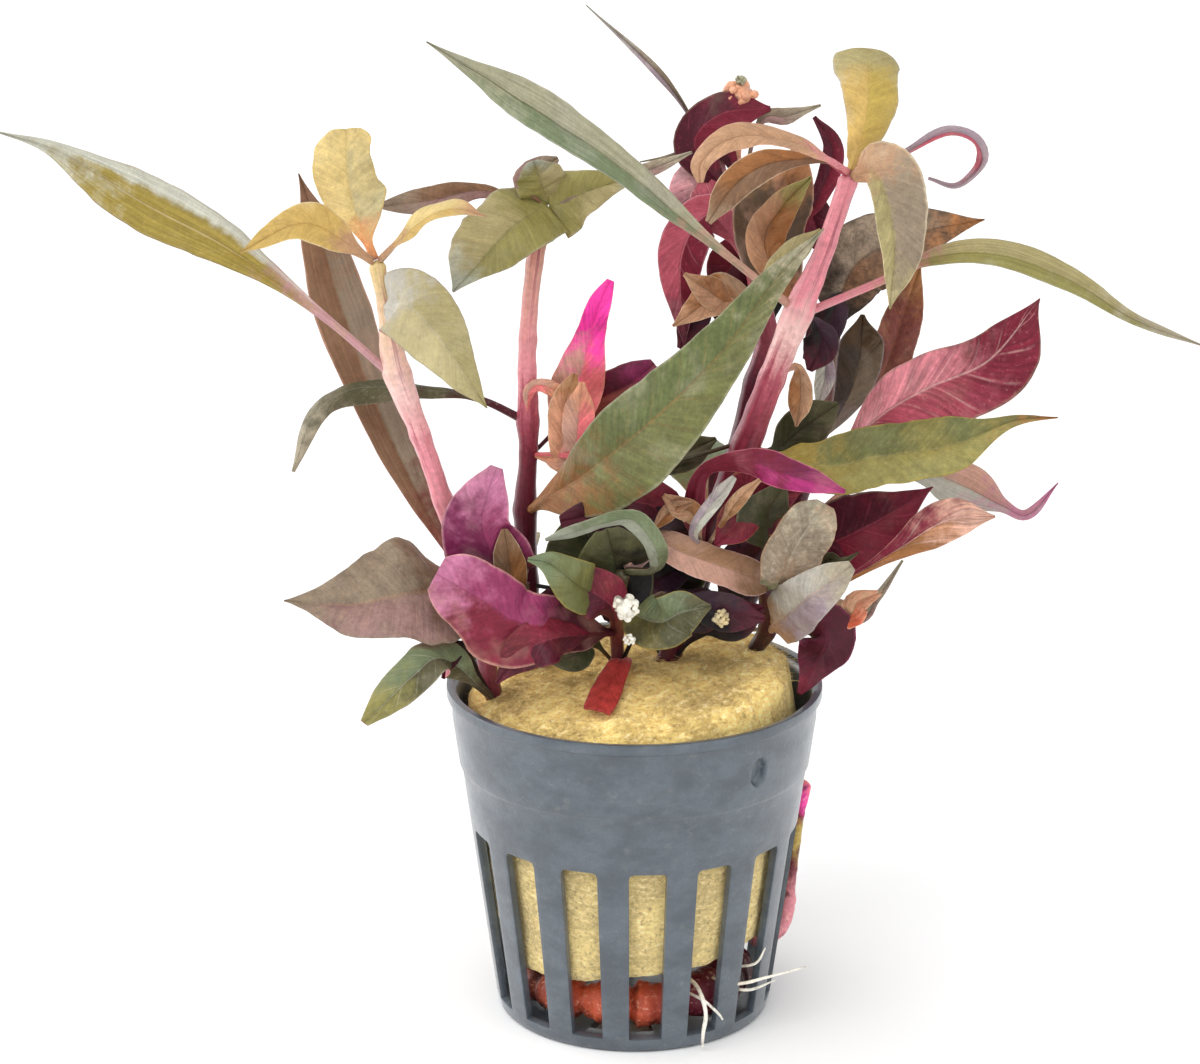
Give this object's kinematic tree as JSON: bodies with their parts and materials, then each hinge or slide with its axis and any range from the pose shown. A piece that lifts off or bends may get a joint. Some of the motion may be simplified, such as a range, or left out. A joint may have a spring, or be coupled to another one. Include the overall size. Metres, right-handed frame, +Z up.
{
  "type": "potted alternanthera rosaefolia",
  "caption": "Red-leaved aquarium plant cuttings on pink stems, rooted in a mineral wool plug in a tapered, slotted plastic net pot that stands on its flat foot.",
  "frame": {"origin": "centre of the flat underside of the net pot's foot", "axes": "+Z up along the pot's axis, -Y towards the side that the picture shows, +X to the right seen from there"},
  "size_m": [0.1607, 0.071, 0.1424],
  "materials": {
    "pot_plastic": "satin",
    "mineral_wool": "matte",
    "leaf_olive": "satin",
    "leaf_green": "satin",
    "leaf_brown": "satin",
    "leaf_grey": "satin",
    "leaf_magenta": "satin",
    "leaf_crimson": "satin",
    "leaf_rose": "satin",
    "leaf_tan": "satin",
    "shoot_pink": "satin",
    "stem_pink": "satin",
    "stem_red": "satin",
    "stem_orange": "satin",
    "root_white": "matte"
  },
  "bodies": {
    "root": {"leaf_back_grey": "leaf_grey", "leaf_back_mottled": "leaf_brown", "leaf_back_red": "leaf_brown", "leaf_far_left": "leaf_olive", "leaf_far_middle": "leaf_green", "leaf_far_right": "leaf_magenta", "leaf_front_folded": "leaf_green", "leaf_front_green": "leaf_green", "leaf_front_hood": "leaf_green", "leaf_front_olive": "leaf_grey", "leaf_front_pale": "leaf_grey", "leaf_front_tan": "leaf_tan", "leaf_large_front": "leaf_green", "leaf_left_hanging": "leaf_grey", "leaf_left_inner": "leaf_olive", "leaf_left_long": "leaf_olive", "leaf_left_tall": "leaf_brown", "leaf_left_upright": "leaf_olive", "leaf_left_young": "leaf_olive", "leaf_low_broad": "leaf_grey", "leaf_low_drooping": "leaf_green", "leaf_low_magenta": "leaf_magenta", "leaf_low_upright": "leaf_magenta", "leaf_middle_broad": "leaf_grey", "leaf_middle_drooping": "leaf_green", "leaf_middle_right": "leaf_green", "leaf_on_wool": "leaf_crimson", "leaf_right_arching": "leaf_tan", "leaf_right_dark": "leaf_brown", "leaf_right_far": "leaf_olive", "leaf_right_hanging": "leaf_olive", "leaf_right_high": "leaf_grey", "leaf_right_upright": "leaf_olive", "leaf_rosette_arc": "leaf_crimson", "leaf_rosette_left": "leaf_crimson", "leaf_rosette_tan": "leaf_tan", "leaf_rosette_thin": "leaf_rose", "leaf_side_crimson": "leaf_crimson", "leaf_side_curled": "leaf_tan", "leaf_side_green": "leaf_green", "leaf_side_low": "leaf_magenta", "leaf_side_magenta": "leaf_magenta", "leaf_side_rose": "leaf_rose", "leaf_side_striped": "leaf_brown", "net_pot": "pot_plastic", "root_long": "root_white", "shoot_pink": "shoot_pink", "shoot_right": "leaf_tan", "side_sprig": "stem_pink", "stem_back_right": "stem_red", "stem_ends": "stem_orange", "stem_front": "stem_red", "stem_front_right": "stem_red", "stem_left": "stem_pink", "stem_middle": "stem_pink", "stem_right": "stem_pink", "stem_rosette": "stem_red", "tendril_right": "leaf_rose", "wool_plug": "mineral_wool"}
  },
  "joints": []
}
